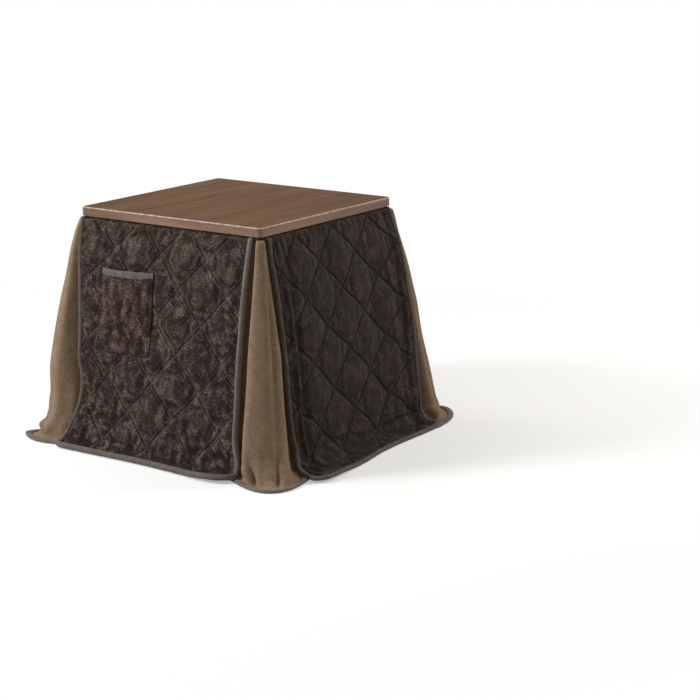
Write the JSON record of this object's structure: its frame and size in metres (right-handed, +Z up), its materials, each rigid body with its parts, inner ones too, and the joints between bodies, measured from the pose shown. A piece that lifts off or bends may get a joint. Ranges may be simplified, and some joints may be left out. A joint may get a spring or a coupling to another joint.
{
  "type": "kotatsu table",
  "caption": "Tall square heated table: loose wood-print top, quilted floor-length skirt with fleece corner gussets, wooden frame and fan heater under the top.",
  "frame": {"origin": "on the floor under the middle of the table", "axes": "+Z up, -Y the side with the pocket, +X the sitter's side"},
  "size_m": [1.028, 0.96, 0.635],
  "materials": {
    "board_core_wood": "raw particle board inside the top",
    "board_edge_wood": "satin walnut edge band",
    "walnut_print": "satin walnut decor sheet",
    "backing_print": "matte brown backing sheet",
    "quilted_flannel": "dark brown quilted flannel plush",
    "binding_tape": "grey-brown bound edge",
    "plain_fleece": "plain light brown fleece",
    "frame_wood": "satin brown lacquered hardwood",
    "zinc_steel": "zinc plated",
    "nylon": "dark nylon",
    "casing_paint": "dark heat-resistant paint",
    "guard_paint": "dark heat-resistant paint",
    "reflector_aluminium": "bright",
    "quartz": "clear quartz",
    "filament_steel": "heating alloy",
    "cap_ceramic": "unglazed white",
    "motor_paint": "satin grey",
    "fan_aluminium": "mill finish",
    "thermostat_plastic": "black",
    "fuse_ceramic": "unglazed",
    "inlet_plastic": "black",
    "pin_brass": "plain",
    "lead_rubber": "heat-resistant white sleeve"
  },
  "bodies": {
    "frame": {"leg_front_right": "frame_wood", "leg_front_left": "frame_wood", "leg_back_right": "frame_wood", "leg_back_left": "frame_wood", "apron_front": "frame_wood", "apron_back": "frame_wood", "apron_left": "frame_wood", "apron_right": "frame_wood", "heater_rail_right": "frame_wood", "heater_rail_left": "frame_wood", "corner_brackets": "zinc_steel", "bracket_screws": "zinc_steel", "hanger_bolts": "zinc_steel", "washers": "zinc_steel", "hexagon_nuts": "zinc_steel", "rail_screws": "zinc_steel", "heater_screws": "zinc_steel", "foot_glides": "nylon", "heater_casing": "casing_paint", "heater_guard": "guard_paint", "heater_reflector": "reflector_aluminium", "reflector_posts": "zinc_steel", "quartz_tube": "quartz", "heating_filament": "filament_steel", "tube_end_caps": "cap_ceramic", "tube_holders": "zinc_steel", "motor_plate": "zinc_steel", "fan_motor": "motor_paint", "thermostat": "thermostat_plastic", "thermal_fuse": "fuse_ceramic", "fuse_clip": "zinc_steel", "inlet_housing": "inlet_plastic", "inlet_pins": "pin_brass", "heater_leads": "lead_rubber"},
    "cover": {"cover_top_sheet": "quilted_flannel", "panel_front": "quilted_flannel", "panel_back": "quilted_flannel", "panel_left": "quilted_flannel", "pocket": "quilted_flannel", "panel_front_binding": "binding_tape", "panel_back_binding": "binding_tape", "panel_left_binding": "binding_tape", "pocket_binding": "binding_tape", "gusset_front_left": "plain_fleece", "gusset_front_left_hem": "binding_tape", "gusset_front_right": "plain_fleece", "gusset_front_right_hem": "binding_tape", "gusset_back_left": "plain_fleece", "gusset_back_left_hem": "binding_tape", "gusset_back_right": "plain_fleece", "gusset_back_right_hem": "binding_tape"},
    "flap": {"panel_right": "quilted_flannel", "panel_right_binding": "binding_tape"},
    "tabletop": {"board_core": "board_core_wood", "board_edge_band": "board_edge_wood", "board_face_sheet": "walnut_print", "board_backing_sheet": "backing_print"},
    "fan": {"fan_impeller": "fan_aluminium", "fan_shaft": "zinc_steel"}
  },
  "joints": [
    {"name": "cover_lift", "type": "slide", "parent": "frame", "child": "cover", "axis": [0, 0, 1], "range_m": [0, 0.64]},
    {"name": "tabletop_lift", "type": "slide", "parent": "cover", "child": "tabletop", "axis": [0, 0, 1], "range_m": [0, 0.15]},
    {"name": "sitter_flap", "type": "hinge", "parent": "cover", "child": "flap", "pos_m": [0.3009, 0, 0.6052], "axis": [0, -1, 0], "range_deg": [0, 30]},
    {"name": "fan_spin", "type": "hinge", "parent": "frame", "child": "fan", "pos_m": [0, 0, 0.5532], "axis": [0, 0, 1], "continuous": true}
  ]
}
